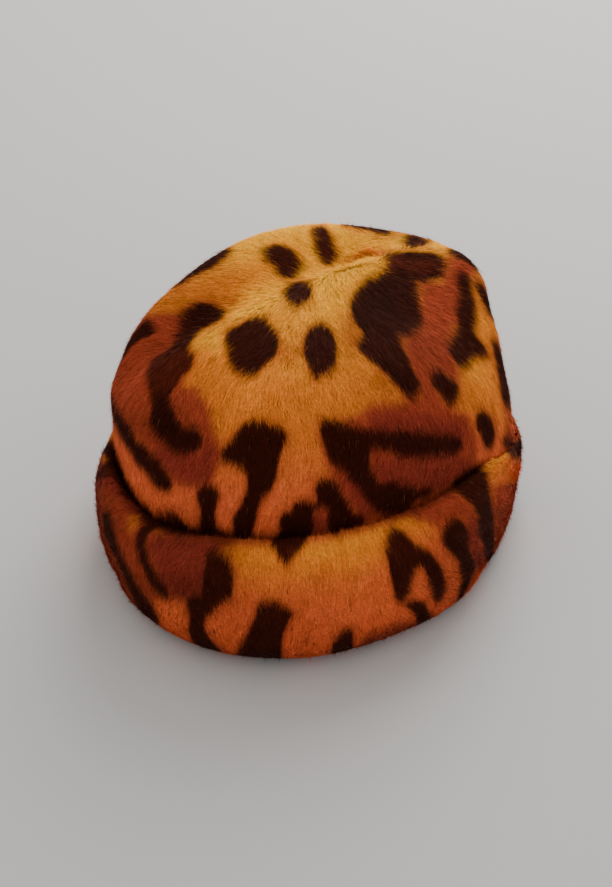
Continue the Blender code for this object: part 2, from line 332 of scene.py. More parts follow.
CUFF_PAINTED_SHADING = (
    # painted highlight and painted shade areas of the cuff: x, y, reach_x, reach_y, gain
    (328, 550, 66, 20, 0.42),
    (390, 538, 20, 12, 0.14),
    (228, 550, 14, 24, -0.40),
    (448, 556, 18, 26, -0.30),
    (108, 516, 16, 20, -0.24),
    (192, 588, 24, 16, -0.40),
    (236, 612, 18, 20, -0.16),
    (372, 606, 44, 22, 0.14),
    (150, 616, 30, 20, 0.16),
    (504, 494, 14, 14, 0.50),
)
CROWN_PILE = (
    # where the pile stands fuller or flatter along the hat's rim in the front view:
    # x, y, reach in pixels, change of depth in metres
    (482, 279, 20, 0.0028),
    (466, 258, 13, 0.0012),
    (503, 366, 26, -0.0013),
    (132, 336, 22, -0.0009),
    (121, 358, 12, -0.0010),
    (111, 392, 14, 0.0014),
)
CUFF_PILE = (
    (107, 442, 12, -0.0022),
    (100, 461, 12, -0.0014),
    (106, 554, 10, -0.0008),
    (116, 576, 14, -0.0018),
    (515, 418, 12, 0.0011),
    (521, 440, 12, 0.0013),
    (520, 462, 10, 0.0010),
    (483, 569, 16, -0.0009),
)


def outline_gap(points, outline):
    """Signed gap to a closed outline; negative inside."""
    corners = np.array(outline, dtype=float)
    best = np.full(points.shape[:-1], np.inf)
    inside = np.zeros(points.shape[:-1], dtype=bool)
    x, y = points[..., 0], points[..., 1]
    for p, q in zip(corners, np.roll(corners, -1, 0)):
        step = q - p
        t = np.clip(((points - p) @ step) / (step @ step), 0.0, 1.0)
        away = points - p - t[..., None] * step
        best = np.minimum(best, (away * away).sum(axis=-1))
        if p[1] != q[1]:
            crosses = (p[1] > y) != (q[1] > y)
            inside ^= crosses & (x < p[0] + (y - p[1]) * step[0] / step[1])
    return np.where(inside, -1.0, 1.0) * np.sqrt(best)


def chain_gap(points, chain):
    """Signed gap to a tapered chain; negative inside."""
    nodes = np.array(chain, dtype=float)
    size = nodes.shape[1] - 1
    if len(nodes) == 1:
        nodes = np.repeat(nodes, 2, axis=0)
    gap = np.full(points.shape[:-1], np.inf)
    for p, q in zip(nodes[:-1], nodes[1:]):
        step = q[:size] - p[:size]
        length = max(float(step @ step), 1e-12)
        t = np.clip(((points - p[:size]) @ step) / length, 0.0, 1.0)
        away = points - p[:size] - t[..., None] * step
        gap = np.minimum(gap, np.sqrt((away * away).sum(axis=-1)) - mix(p[size], q[size], t))
    return gap


def nearest(points, shapes, gap_of, reach):
    """Smallest gap to any of the shapes; only points near a shape are worked out."""
    gap = np.full(len(points), float(reach))
    for shape in shapes:
        size = points.shape[1]
        corners = np.array([node[:size] for node in shape], dtype=float)
        near = np.all((points > corners.min(0) - reach) & (points < corners.max(0) + reach), axis=1)
        gap[near] = np.minimum(gap[near], gap_of(points[near], shape))
    return gap


# Surface maps: each outer face as a grid over two angles

def tree_of(node):
    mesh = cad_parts[node].data
    mesh.calc_loop_triangles()
    points = [tuple(v.co) for v in mesh.vertices]
    faces = [tuple(t.vertices) for t in mesh.loop_triangles]
    return BVHTree.FromPolygons(points, faces)


CROWN_TREE = tree_of("crown")
CUFF_TREE = tree_of("cuff")


def hit(tree, start, way):
    place = tree.ray_cast(Vector(start), Vector(way))[0]
    return None if place is None else np.array(place)


def blur(grid, times):
    """Soften a grid that wraps round its first axis."""
    for _ in range(times):
        grid = (np.roll(grid, 1, 0) + 2.0 * grid + np.roll(grid, -1, 0)) / 4.0
        inner = (grid[:, :-2] + 2.0 * grid[:, 1:-1] + grid[:, 2:]) / 4.0
        grid = np.concatenate((grid[:, :1], inner, grid[:, -1:]), axis=1)
    return grid


class Face:
    """One outer face as a grid, with look-ups between its points."""

    def __init__(self, first, second, painted_light_share, spot_gain):
        self.first = first
        self.second = second
        # share of painted highlight that this face takes
        self.painted_light_share = painted_light_share
        self.spot_gain = spot_gain
        self.fields = {}

    def look(self, name, a, b):
        """Field value at the two angles, eased between grid points."""
        field = self.fields[name]
        rows, columns = field.shape[0], field.shape[1]
        u = (a - self.first[0]) / (2.0 * math.pi) * rows
        low, high = self.second[0], self.second[-1]
        v = np.clip((b - low) / (high - low), 0.0, 1.0) * (columns - 1)
        i = np.floor(u).astype(int)
        j = np.minimum(np.floor(v).astype(int), columns - 2)
        s = (u - i)[..., None]
        t = (v - j)[..., None]
        i0, i1 = i % rows, (i + 1) % rows
        near = mix(field[i0, j], field[i1, j], s)
        far = mix(field[i0, j + 1], field[i1, j + 1], s)
        return mix(near, far, t)


def grid_normals(points, away_from):
    """Outward directions of a grid of points."""
    along = np.roll(points, -2, 0) - np.roll(points, 2, 0)
    across = np.gradient(points, axis=1)
    n = np.cross(along, across)
    size = np.linalg.norm(n, axis=-1, keepdims=True)
    n = np.where(size > 1e-12, n / np.maximum(size, 1e-12), 0.0)
    flip = np.sign(dot(n, points - away_from))[..., None]
    return n * np.where(flip == 0, 1.0, flip)


CROWN_STEPS = (720, 236)
CUFF_STEPS = (720, 200)
CUFF_TURN = (math.radians(-88.0), math.radians(128.0))


def crown_way(az, el):
    flat = np.cos(el)
    return np.stack(np.broadcast_arrays(np.cos(az) * flat, np.sin(az) * flat, np.sin(el)), -1)


def crown_normals(places, el):
    """Outward directions, evened out at the very top."""
    normals = grid_normals(places, CROWN_EYE)
    pole = normals[:, -6].mean(axis=0)
    fade = smooth(math.radians(86.0), math.radians(88.5), el)[None, :, None]
    return unit(mix(normals, pole, fade))


def groove(places, normals):
    """Depth of the narrow sewn or folded lines that the front view shows."""
    depth = np.zeros(places.shape[:-1])
    shown = facing(places, normals) > 0.0
    for chain, deep in CREASES:
        gap = nearest(front_view(places[shown]), (chain,), chain_gap, 12.0)
        depth[shown] += deep * np.exp(-(np.maximum(gap, 0.0) / 2.2) ** 2)
    return depth


def fuller(places, normals, rows):
    """Change of the pile's depth near the rim of the front view."""
    x, y = np.moveaxis(front_view(places), -1, 0)
    depth = np.zeros(x.shape)
    for middle_x, middle_y, reach, change in rows:
        depth += change * np.exp(-((x - middle_x) ** 2 + (y - middle_y) ** 2) / reach ** 2)
    return depth * np.exp(-(facing(places, normals) / 0.45) ** 2)


def map_crown():
    """The crown's outer face, read by rays from outside towards its middle."""
    az = np.arange(CROWN_STEPS[0]) * 2.0 * math.pi / CROWN_STEPS[0]
    el = np.linspace(CROWN_LOWEST_RAY, math.pi / 2, CROWN_STEPS[1])
    ways = crown_way(az[:, None], el[None, :])
    reach = np.zeros(ways.shape[:2])
    for i in range(ways.shape[0]):
        for j in range(ways.shape[1]):
            way = ways[i, j]
            place = hit(CROWN_TREE, CROWN_EYE + way * RAY_START, -way)
            reach[i, j] = np.linalg.norm(place - CROWN_EYE)
    reach[:, -1] = reach[:, -1].mean()
    reach = blur(reach, 10)
    face = Face(az, el, painted_light_share=1.0, spot_gain=1.0)
    places = CROWN_EYE + ways * reach[..., None]
    normals = crown_normals(places, el)
    sink = FUR_SINK + groove(places, normals) - fuller(places, normals, CROWN_PILE)
    places = places - normals * sink[..., None]
    places[:, -1] = places[:, -1].mean(axis=0)
    face.fields = {"place": places, "normal": crown_normals(places, el)}
    return face


def crown_angles(points):
    d = points - CROWN_EYE
    flat = np.hypot(d[..., 0], d[..., 1])
    return np.arctan2(d[..., 1], d[..., 0]), np.arctan2(d[..., 2], flat)


def map_cuff():
    """The cuff's outer face: the roll's section at each direction, by an angle round its middle."""
    az = np.arange(CUFF_STEPS[0]) * 2.0 * math.pi / CUFF_STEPS[0]
    turn = np.linspace(CUFF_TURN[0], CUFF_TURN[1], CUFF_STEPS[1])
    middle = np.zeros((len(az), 4))
    for i, a in enumerate(az):
        out = np.array((math.cos(a), math.sin(a), 0.0))
        start = np.array((AXIS[0], AXIS[1], ROLL_LEVEL))
        far = np.linalg.norm(hit(CUFF_TREE, start + out * RAY_START, -out) - start)
        near = np.linalg.norm(hit(CUFF_TREE, start, out) - start)
        above = start + out * (near + 0.3 * (far - near))
        above[2] = ABOVE_CUFF
        crest = hit(CUFF_TREE, above, np.array((0.0, 0.0, -1.0)))[2]
        middle[i] = (0.5 * (near + far), 0.5 * crest, 0.5 * (far - near), 0.5 * crest)
    wrapped = blur(np.repeat(middle[:, None, :], 3, axis=1), 6)[:, 1]
    share = np.zeros((len(az), len(turn)))
    for i, a in enumerate(az):
        out = np.array((math.cos(a), math.sin(a), 0.0))
        radius, height, half_w, half_h = wrapped[i]
        start = np.array((AXIS[0], AXIS[1], 0.0)) + out * radius
        start[2] = height
        for j, t in enumerate(turn):
            way = out * half_w * math.cos(t)
            way[2] = half_h * math.sin(t)
            size = np.linalg.norm(way)
            share[i, j] = np.linalg.norm(hit(CUFF_TREE, start, way / size) - start) / size
    share = blur(share, 8)
    # the cuff takes less painted highlight than the crown
    face = Face(az, turn, painted_light_share=0.4, spot_gain=1.4)
    face.middle = wrapped
    a, t = az[:, None], turn[None, :]

    def ring(radius, height):
        return np.stack((AXIS[0] + radius * np.cos(a), AXIS[1] + radius * np.sin(a), height), -1)

    radius = wrapped[:, 0:1] + wrapped[:, 2:3] * np.cos(t) * share
    height = wrapped[:, 1:2] + wrapped[:, 3:4] * np.sin(t) * share
    places = ring(radius, np.maximum(height, 0.0))
    inside = ring(wrapped[:, 0:1] + 0.0 * t, wrapped[:, 1:2] + 0.0 * t)
    normals = grid_normals(places, inside)
    lift = smooth(0.0, 0.004, places[..., 2])
    sink = FUR_SINK * lift + groove(places, normals) - lift * fuller(places, normals, CUFF_PILE)
    places = places - normals * sink[..., None]
    places[..., 2] = np.maximum(places[..., 2], 0.0)
    face.fields = {"place": places, "normal": grid_normals(places, inside)}
    return face


def cuff_angles(points):
    flat = points[..., :2] - AXIS
    az = np.arctan2(flat[..., 1], flat[..., 0])
    radius = np.hypot(flat[..., 0], flat[..., 1])
    rows = CUFF.middle.shape[0]
    u = az / (2.0 * math.pi) * rows
    i = np.floor(u).astype(int)
    s = (u - i)[..., None]
    m = mix(CUFF.middle[i % rows], CUFF.middle[(i + 1) % rows], s)
    turn = np.arctan2((points[..., 2] - m[..., 1]) / m[..., 3], (radius - m[..., 0]) / m[..., 2])
    turn = np.where(turn < CUFF_TURN[0] - 0.5, turn + 2.0 * math.pi, turn)
    return az, turn


CROWN = map_crown()
CUFF = map_cuff()


# Combing of the pile

RIDGE_START = np.array((-0.080, -0.024))
RIDGE_END = np.array((0.090, 0.060))


def behind_ridge(points):
    """Plan distance behind the line of the ridge, in metres."""
    along = unit(RIDGE_END - RIDGE_START)
    d = points[..., :2] - RIDGE_START
    return d[..., 1] * along[0] - d[..., 0] * along[1]


def tangent(way, normal):
    return unit(way - dot(way, normal)[..., None] * normal)


def turned(way, normal, angle):
    """Directions turned round the normal."""
    side = np.cross(normal, way)
    return way * np.cos(angle)[..., None] + side * np.sin(angle)[..., None]


def comb_crown(points, normals):
    whorl = np.array((0.008, 0.046))
    d = points[..., :2] - whorl
    spread = d / np.maximum(np.hypot(d[..., 0], d[..., 1]), 0.02)[..., None]
    way = np.concatenate((spread * 0.75, np.full(spread.shape[:-1] + (1,), -0.9)), axis=-1)
    back = smooth(-0.006, 0.030, behind_ridge(points)) * smooth(0.10, 0.13, points[..., 2])
    back = back * smooth(0.070, 0.035, behind_ridge(points))
    left = np.zeros_like(way) + np.array((-1.0, 0.12, -0.2))
    way = mix(way, left, back[..., None])
    way = tangent(way, normals)
    return turned(way, normals, 0.32 * noise(points, 0.034, 3) + 0.20 * noise(points, 0.011, 4))


CUFF_COMB = (
    # azimuth in degrees, lean of the pile from straight up, towards falling azimuth
    (0.0, 66.0), (45.0, 50.0), (90.0, 30.0), (140.0, 5.0), (185.0, -30.0),
    (225.0, -14.0), (262.0, 4.0), (290.0, 14.0), (318.0, 40.0), (340.0, 60.0), (360.0, 66.0),
)


def comb_cuff(points, normals):
    flat = points[..., :2] - AXIS
    az = np.degrees(np.arctan2(flat[..., 1], flat[..., 0])) % 360.0
    lean = np.radians(np.interp(az, [r[0] for r in CUFF_COMB], [r[1] for r in CUFF_COMB]))
    out = unit(np.concatenate((flat, np.zeros(flat.shape[:-1] + (1,))), axis=-1))
    fall = np.stack((out[..., 1], -out[..., 0], np.zeros(out.shape[:-1])), axis=-1)
    up = np.cross(fall, normals)
    way = up * np.cos(lean)[..., None] + fall * np.sin(lean)[..., None]
    way = tangent(way, normals)
    return turned(way, normals, 0.30 * noise(points, 0.030, 5) + 0.20 * noise(points, 0.011, 6))


# Print fields and colours

def scatter_print(face, seed, keep):
    """Spots for the sides that the front view doesn't show, as chains in space."""
    rng = np.random.default_rng(seed)
    places = face.fields["place"]
    normals = face.fields["normal"]
    chosen, dark, rust = [], [], []
    for _ in range(SCATTER_TRIES):
        i = rng.integers(places.shape[0])
        j = rng.integers(places.shape[1])
        p, n = places[i, j], normals[i, j]
        if not keep(p, n) or any(np.linalg.norm(p - q) < SCATTER_SPACING for q in chosen):
            continue
        chosen.append(p)
        way = tangent(rng.normal(size=3), n)
        bend = rng.uniform(-0.9, 0.9)
        kind = rng.random()
        count = 1 if kind < 0.25 else (3 if kind < 0.7 else 5)
        step = rng.uniform(0.006, 0.010)
        half = rng.uniform(0.0050, 0.0080) if count > 1 else rng.uniform(0.008, 0.012)
        chain = []
        for k in range(count):
            chain.append((*p, half * rng.uniform(0.8, 1.2)))
            p = p + way * step
            way = turned(way, n, np.array(bend * rng.uniform(0.6, 1.2)))
        dark.append(tuple(chain))
        if rng.random() < 0.55:
            side = chosen[-1] + tangent(rng.normal(size=3), n) * 0.016
            rust.append(((*side, 0.012), (*(side + way * 0.014), 0.010)))
    return dark, rust


def in_view(points, normals, shapes, gap_of):
    """Gap in metres to shapes charted in the front view, for points that can be seen there."""
    metres = CAMERA_DISTANCE / FOCAL_PIXELS
    gap = np.full(points.shape[:-1], FAR_GAP)
    shown = facing(points, normals) > -0.60
    gap[shown] = metres * nearest(front_view(points[shown]), shapes, gap_of, FAR_GAP / metres)
    return gap


def in_space(points, normals, chains):
    """Gap to scattered chains, for points that the front view doesn't show."""
    gap = np.full(points.shape[:-1], FAR_GAP)
    hidden = facing(points, normals) < 0.04
    gap[hidden] = nearest(points[hidden], chains, chain_gap, FAR_GAP)
    return gap


def sheltered(places, normals):
    """1 in the hollow of the top and on the cuff's inner side, whose hair tips show in front."""
    away = unit(places[..., :2] - AXIS)
    inner = smooth(0.05, -0.30, dot(away, normals[..., :2]))
    return np.maximum(inner, smooth(0.128, 0.140, places[..., 2]))


def shown_in_front(places, normals):
    """How far the front view shows the pile; below 0 it is out of sight."""
    return facing(places, normals) + 0.35 * sheltered(places, normals)


def painted_shading_gain(points, normals, tones):
    """Sum of the soft painted highlight and painted shade areas charted in the front view."""
    x, y = np.moveaxis(front_view(points), -1, 0)
    gain = np.zeros(x.shape)
    for middle_x, middle_y, reach_x, reach_y, amount in tones:
        gain += amount * np.exp(-((x - middle_x) / reach_x) ** 2 - ((y - middle_y) / reach_y) ** 2)
    return gain * smooth(-0.20, 0.02, shown_in_front(points, normals))


def paint(face, seed, keep, tones):
    """Fill the face's print fields from the chart in front and scattered spots behind."""
    places, normals = face.fields["place"], face.fields["normal"]
    wobble = 0.0007 * noise(places, 0.006, seed) + 0.0009 * noise(places, 0.0022, seed + 1)
    moved = places + face.fields["comb"] * wobble[..., None]
    spread, patches = scatter_print(face, seed, keep)
    turn = smooth(0.02, -0.18, shown_in_front(places, normals))

    def charted(shapes, gap_of=outline_gap):
        return in_view(moved, normals, shapes, gap_of)

    dark = np.minimum(charted(SPOTS), charted(STROKES, chain_gap)) - SPOT_SPREAD
    tan = charted(TANS)
    brown = np.maximum(charted(BROWNS), -tan)
    umber = np.maximum(charted(UMBERS), -tan)
    behind = in_space(moved, normals, patches)
    # painted light and shade from the charted areas
    face.fields["tone"] = painted_shading_gain(moved, normals, tones)[..., None]
    far = np.full(behind.shape, FAR_GAP)
    for name, front, back in (
        ("dark", dark, in_space(moved, normals, spread)),
        ("brown", brown, behind),
        ("umber", umber, behind + 0.004),
        ("mixed", charted(MIXED), far),
    ):
        gap = mix(np.clip(front, -FAR_GAP, FAR_GAP), np.clip(back, -FAR_GAP, FAR_GAP), turn)
        face.fields[name] = blur(gap, 2)[..., None]


# painted highlight: the pile's colour is palest where it faces this way
LIT_SIDE = unit(np.array((0.346, 0.742, 0.574)))    # the pile is palest where it faces this way


def painted_fold_shade(face, places, b):
    """1 where painted shade darkens the pile deep in the fold between crown and cuff."""
    if face is CUFF:
        return smooth(math.radians(84.0), math.radians(110.0), b)
    return 0.45 * smooth(0.009, 0.0, above_crest(places))


def fur_colour(face, a, b):
    """Colour of the pile from the print, with painted light and shade by how far it faces up and
    towards LIT_SIDE, painted shade in the fold, and slow variation.
    """
    places = face.look("place", a, b)
    normals = unit(face.look("normal", a, b))
    lit = 0.37 + 0.23 * normals[..., 2] + 0.45 * np.maximum(normals @ LIT_SIDE, 0.0)
    dark, brown, umber, mixed, tone = (face.look(name, a, b)[..., 0]
                                       for name in ("dark", "brown", "umber", "mixed", "tone"))
    # painted light and shade shift the pile's tone
    lit = lit * (1.0 + 0.6 * tone)
    wander = 0.07 * noise(places, 0.022, 11) + 0.07 * noise(places, 0.007, 12)
    # painted highlight: the pile turns pale where it faces up and towards LIT_SIDE
    pale = face.painted_light_share * np.clip(smooth(0.60, 0.90, lit) + wander, 0.0, 1.0)[..., None]
    fold = painted_fold_shade(face, places, b)[..., None]
    # painted shade: the pile turns deep tan where it faces away from the light
    deep = np.clip(smooth(0.60, 0.34, lit) + wander, 0.0, 1.0)[..., None]
    # painted shade: the pile takes the deep tan in the fold
    deep = np.maximum(deep, 0.85 * fold)
    colour = mix(mix(TAN, TAN_PAINTED_LIGHT, pale), TAN_PAINTED_SHADE, deep)
    colour = mix(colour, BROWN, 0.55 * smooth(*HALO_EDGE, dark)[..., None])
    colour = mix(colour, BROWN, smooth(*BROWN_EDGE, brown)[..., None])
    colour = mix(colour, UMBER, smooth(*UMBER_EDGE, umber)[..., None])
    # painted light and shade scale the colour: the charted areas, and painted shade deep in the fold
    gain = (1.0 + 0.9 * tone[..., None]) * (1.0 - 0.34 * fold)
    colour = colour * np.minimum(gain, 0.96 / colour.max(axis=-1, keepdims=True))
    # painted highlight and painted shade reach the dark spots too
    spot = SPOT * (face.spot_gain + 0.2 * pale) * gain
    spot = mix(spot, BROWN, 0.14 * smooth(*MIXED_EDGE, mixed)[..., None])
    return mix(colour, spot, smooth(*SPOT_EDGE, dark)[..., None])


CROWN.fields["comb"] = comb_crown(CROWN.fields["place"], CROWN.fields["normal"])
CUFF.fields["comb"] = comb_cuff(CUFF.fields["place"], CUFF.fields["normal"])
paint(CROWN, 31, lambda p, n: facing(p, n) < -0.14 and 0.03 < p[2] < 0.132, CROWN_PAINTED_SHADING)
paint(CUFF, 47, lambda p, n: facing(p, n) < -0.14, CUFF_PAINTED_SHADING)
CREST = 2.0 * CUFF.middle[:, 1]


# Meshes

def mesh_piece(name, points, loops, totals, colours, materials, uv=None, slots=None):
    """Object from arrays; totals is the number of corners of each face."""
    mesh = bpy.data.meshes.new(name)
    mesh.vertices.add(len(points))
    mesh.vertices.foreach_set("co", np.ascontiguousarray(points, dtype=np.float32).ravel())
    mesh.loops.add(len(loops))
    mesh.loops.foreach_set("vertex_index", np.asarray(loops, dtype=np.int32))
    mesh.polygons.add(len(totals))
    starts = np.concatenate(((0,), np.cumsum(totals)[:-1])).astype(np.int32)
    mesh.polygons.foreach_set("loop_start", starts)
    mesh.polygons.foreach_set("use_smooth", np.ones(len(totals), dtype=bool))
    if slots is not None:
        mesh.polygons.foreach_set("material_index", np.asarray(slots, dtype=np.int32))
    tint = mesh.color_attributes.new("fur_colour", "FLOAT_COLOR", "POINT")
    rgba = np.concatenate((colours, np.ones((len(colours), 1))), axis=1)
    tint.data.foreach_set("color", rgba.astype(np.float32).ravel())
    if uv is not None:
        layer = mesh.uv_layers.new(name="OFBake")
        layer.data.foreach_set("uv", np.asarray(uv, dtype=np.float32).ravel())
    mesh.update(calc_edges=True)
    mesh.validate()
    for material in materials:
        mesh.materials.append(material)
    piece = bpy.data.objects.new(name, mesh)
    bpy.context.scene.collection.objects.link(piece)
    return piece


def ring_faces(rows, columns, wrap_rows=False):
    """Quads over rows of points that wrap round; the caller lists rows one after another."""
    i = np.arange(columns)
    j = (i + 1) % columns
    quads = []
    count = rows if wrap_rows else rows - 1
    for r in range(count):
        a = r * columns
        b = ((r + 1) % rows) * columns
        quads.append(np.stack((a + i, a + j, b + j, b + i), axis=-1))
    return np.concatenate(quads)


# Materials

def new_material(name):
    """A material with its nodes, links and shader."""
    material = bpy.data.materials.new(name)
    material.use_nodes = True
    nodes = material.node_tree.nodes
    return material, nodes, material.node_tree.links, nodes["Principled BSDF"]


def set_inputs(node, values):
    for name, value in values.items():
        node.inputs[name].default_value = value


def two_tones(nodes, links, pattern, shader, dark, pale):
    """Base colour that goes from dark to pale with the pattern."""
    tones = nodes.new("ShaderNodeValToRGB")
    tones.color_ramp.elements[0].color = (*dark, 1.0)
    tones.color_ramp.elements[1].color = (*pale, 1.0)
    links.new(pattern.outputs["Fac"], tones.inputs["Fac"])
    links.new(tones.outputs["Color"], shader.inputs["Base Color"])


def emboss(nodes, links, pattern, shader, strength, depth):
    ridges = nodes.new("ShaderNodeBump")
    set_inputs(ridges, {"Strength": strength, "Distance": depth})
    links.new(pattern.outputs["Fac"], ridges.inputs["Height"])
    links.new(ridges.outputs["Normal"], shader.inputs["Normal"])


def fur_material(name, rough, bump):
    """Print colour from the mesh, with fine streaks and a soft sheen."""
    material, nodes, links, shader = new_material(name)
    tint = nodes.new("ShaderNodeAttribute")
    tint.attribute_name = "fur_colour"
    place = nodes.new("ShaderNodeTexCoord")
    grain = nodes.new("ShaderNodeTexNoise")
    set_inputs(grain, {"Scale": 700.0, "Detail": 3.0})
    links.new(place.outputs["Object"], grain.inputs["Vector"])
    level = nodes.new("ShaderNodeMapRange")
    set_inputs(level, {"From Min": 0.3, "From Max": 0.7, "To Min": 0.82, "To Max": 1.16})
    links.new(grain.outputs["Fac"], level.inputs["Value"])
    shade = nodes.new("ShaderNodeVectorMath")
    shade.operation = "SCALE"
    links.new(tint.outputs["Color"], shade.inputs[0])
    links.new(level.outputs["Result"], shade.inputs["Scale"])
    links.new(shade.outputs["Vector"], shader.inputs["Base Color"])
    set_inputs(shader, {
        "Roughness": rough,
        "Specular IOR Level": 0.03,
        "Specular Tint": (1.0, 0.66, 0.40, 1.0),
        "Sheen Weight": 0.008,
        "Sheen Roughness": 0.45,
        "Sheen Tint": (1.0, 0.72, 0.45, 1.0),
    })
    if bump:
        emboss(nodes, links, grain, shader, bump, 0.001)
    return material


def backing_material(name):
    """Plain knitted back of the cloth inside the hat."""
    material, nodes, links, shader = new_material(name)
    place = nodes.new("ShaderNodeTexCoord")
    knit = nodes.new("ShaderNodeTexWave")
    set_inputs(knit, {"Scale": 160.0, "Distortion": 1.5})
    links.new(place.outputs["Object"], knit.inputs["Vector"])
    two_tones(nodes, links, knit, shader, BACKING * 0.7, BACKING * 1.3)
    emboss(nodes, links, knit, shader, 0.4, 0.0005)
    set_inputs(shader, {"Roughness": 0.9})
    return material


def floor_material(name):
    """Plain pale floor with a faint cloud."""
    material, nodes, links, shader = new_material(name)
    cloud = nodes.new("ShaderNodeTexNoise")
    set_inputs(cloud, {"Scale": 3.0})
    two_tones(nodes, links, cloud, shader, (0.50, 0.49, 0.48), (0.54, 0.53, 0.52))
    set_inputs(shader, {"Roughness": 0.9})
    return material


HAIR_MATERIAL = fur_material("fur_hair", 0.60, 0.0)
SKIN_MATERIAL = fur_material("fur_root", 0.75, 0.5)
BACK_MATERIAL = backing_material("cloth_back")


# Backing skins

def crown_skin():
    """Root layer under the crown's fur, joined over the lower edge to the cloth's back."""
    columns, rows = 200, 64
    az = np.arange(columns) * 2.0 * math.pi / columns
    el = np.linspace(CROWN_LOWEST_RAY, math.radians(89.4), rows)
    points, colours = [], []
    for e in el:
        b = np.full(columns, e)
        points.append(CROWN.look("place", az, b) - CROWN.look("normal", az, b) * PILE_DEPTH)
        # painted shade: the root layer under the hairs is darker than the pile
        colours.append(fur_colour(CROWN, az, b) * 0.55)
    inner_el = np.linspace(math.radians(89.0), math.radians(-29.0), 24)
    for e in inner_el:
        ring = []
        for a in az:
            way = crown_way(np.array(a), np.array(e))
            place = hit(CROWN_TREE, CROWN_EYE, way)
            if place is None:
                place = ring[-1] if ring else points[-1][0]
            ring.append(place)
        points.append(np.array(ring))
        colours.append(np.tile(BACKING, (columns, 1)))
    # from the inside top down to the edge, then the outer face up to the top
    chain = points[rows:] + points[:rows]
    tints = colours[rows:] + colours[:rows]
    top_out = CROWN.look("place", np.array(0.0), np.array(math.pi / 2)) - (0, 0, PILE_DEPTH)
    top_in = hit(CROWN_TREE, CROWN_EYE, (0.0, 0.0, 1.0))
    stack = np.concatenate(chain)
    quads = ring_faces(len(chain), columns)
    first, last = len(stack), len(stack) + 1
    i = np.arange(columns)
    j = (i + 1) % columns
    base = (len(chain) - 1) * columns
    cap_in = np.stack((j, i, np.full(columns, first)), axis=-1)
    cap_out = np.stack((base + i, base + j, np.full(columns, last)), axis=-1)
    loops = np.concatenate((quads.ravel(), cap_in.ravel(), cap_out.ravel()))
    totals = np.concatenate((np.full(len(quads), 4), np.full(2 * columns, 3)))
    inner_faces = len(inner_el) * columns
    slots = np.zeros(len(totals), dtype=int)
    slots[:inner_faces] = 1
    slots[len(quads):len(quads) + columns] = 1
    stack = np.concatenate((stack, [top_in, top_out]))
    # painted shade on the outer top point, like the root layer
    tint = np.concatenate(tints + [np.array([BACKING, TAN * 0.5])])
    return mesh_piece("crown_skin", stack, loops, totals, tint,
                      (SKIN_MATERIAL, BACK_MATERIAL), slots=slots)


def cuff_skin():
    """Root layer under the cuff's fur, closed by the cloth's back inside and the foot."""
    columns, rows = 216, 44
    az = np.arange(columns) * 2.0 * math.pi / columns
    turn = np.linspace(CUFF_TURN[0], CUFF_TURN[1], rows)
    points, colours = [], []
    for t in turn:
        b = np.full(columns, t)
        place = CUFF.look("place", az, b)
        lower = smooth(0.000, 0.004, place[:, 2])[:, None]
        points.append(place - CUFF.look("normal", az, b) * PILE_DEPTH * lower)
        # painted shade: the root layer under the hairs is darker than the pile
        colours.append(fur_colour(CUFF, az, b) * 0.55)
    out = np.stack((np.cos(az), np.sin(az), np.zeros(columns)), axis=-1)
    axis = np.array((AXIS[0], AXIS[1], 0.0))

    def inner_ring(level):
        start = axis + np.array((0.0, 0.0, level))
        return np.array([hit(CUFF_TREE, start, way) for way in out])

    for level in (0.030, 0.012):
        points.append(inner_ring(level))
        colours.append(np.tile(BACKING, (columns, 1)))
    foot = inner_ring(0.0030)
    for height, inset in ((0.0058, 0.0), (0.0015, 0.0), (0.0, 0.0015)):
        ring = foot + out * inset
        ring[:, 2] = height
        points.append(ring)
        colours.append(np.tile(BACKING * 1.2, (columns, 1)))
    stack = np.concatenate(points)
    quads = ring_faces(len(points), columns, wrap_rows=True)
    slots = np.zeros(len(quads), dtype=int)
    slots[rows * columns:] = 1
    slots[-columns:] = 0
    return mesh_piece("cuff_skin", stack, quads.ravel(), np.full(len(quads), 4),
                      np.concatenate(colours), (SKIN_MATERIAL, BACK_MATERIAL), slots=slots)


# Hair

def above_crest(places):
    """Height of points above the cuff's crest in their own direction."""
    flat = places[..., :2] - AXIS
    rows = len(CREST)
    u = np.arctan2(flat[..., 1], flat[..., 0]) / (2.0 * math.pi) * rows
    i = np.floor(u).astype(int)
    return places[..., 2] - mix(CREST[i % rows], CREST[(i + 1) % rows], u - i)


def sow(face, count, keep, rng):
    """Roots spread evenly by area over the part of the face that shows."""
    places = face.fields["place"]
    along = np.linalg.norm(np.roll(places, -1, 0) - places, axis=-1)[:, :-1]
    across = np.linalg.norm(np.diff(places, axis=1), axis=-1)
    area = along * across * keep(places)[:, :-1]
    odds = (area / area.sum()).ravel()
    picked = rng.choice(len(odds), size=count, p=odds)
    i, j = np.unravel_index(picked, area.shape)
    a = (i + rng.random(count)) / places.shape[0] * 2.0 * math.pi
    span = face.second[-1] - face.second[0]
    b = face.second[0] + (j + rng.random(count)) / (places.shape[1] - 1) * span
    return a, b


def hair_cells(count):
    """Colour map places of the hairs' corners, with a cell of its own for each hair."""
    across = int(math.ceil(math.sqrt(count)))
    cell_x = (np.arange(count) % across)[:, None]
    cell_y = (np.arange(count) // across)[:, None]
    corner_u = np.array((0.50, 0.85, 0.15, 0.15, 0.85, 0.50))
    corner_v = np.array((0.10, 0.50, 0.50, 0.50, 0.50, 0.90))
    return np.stack(((cell_x + corner_u) / across, (cell_y + corner_v) / across), axis=-1)


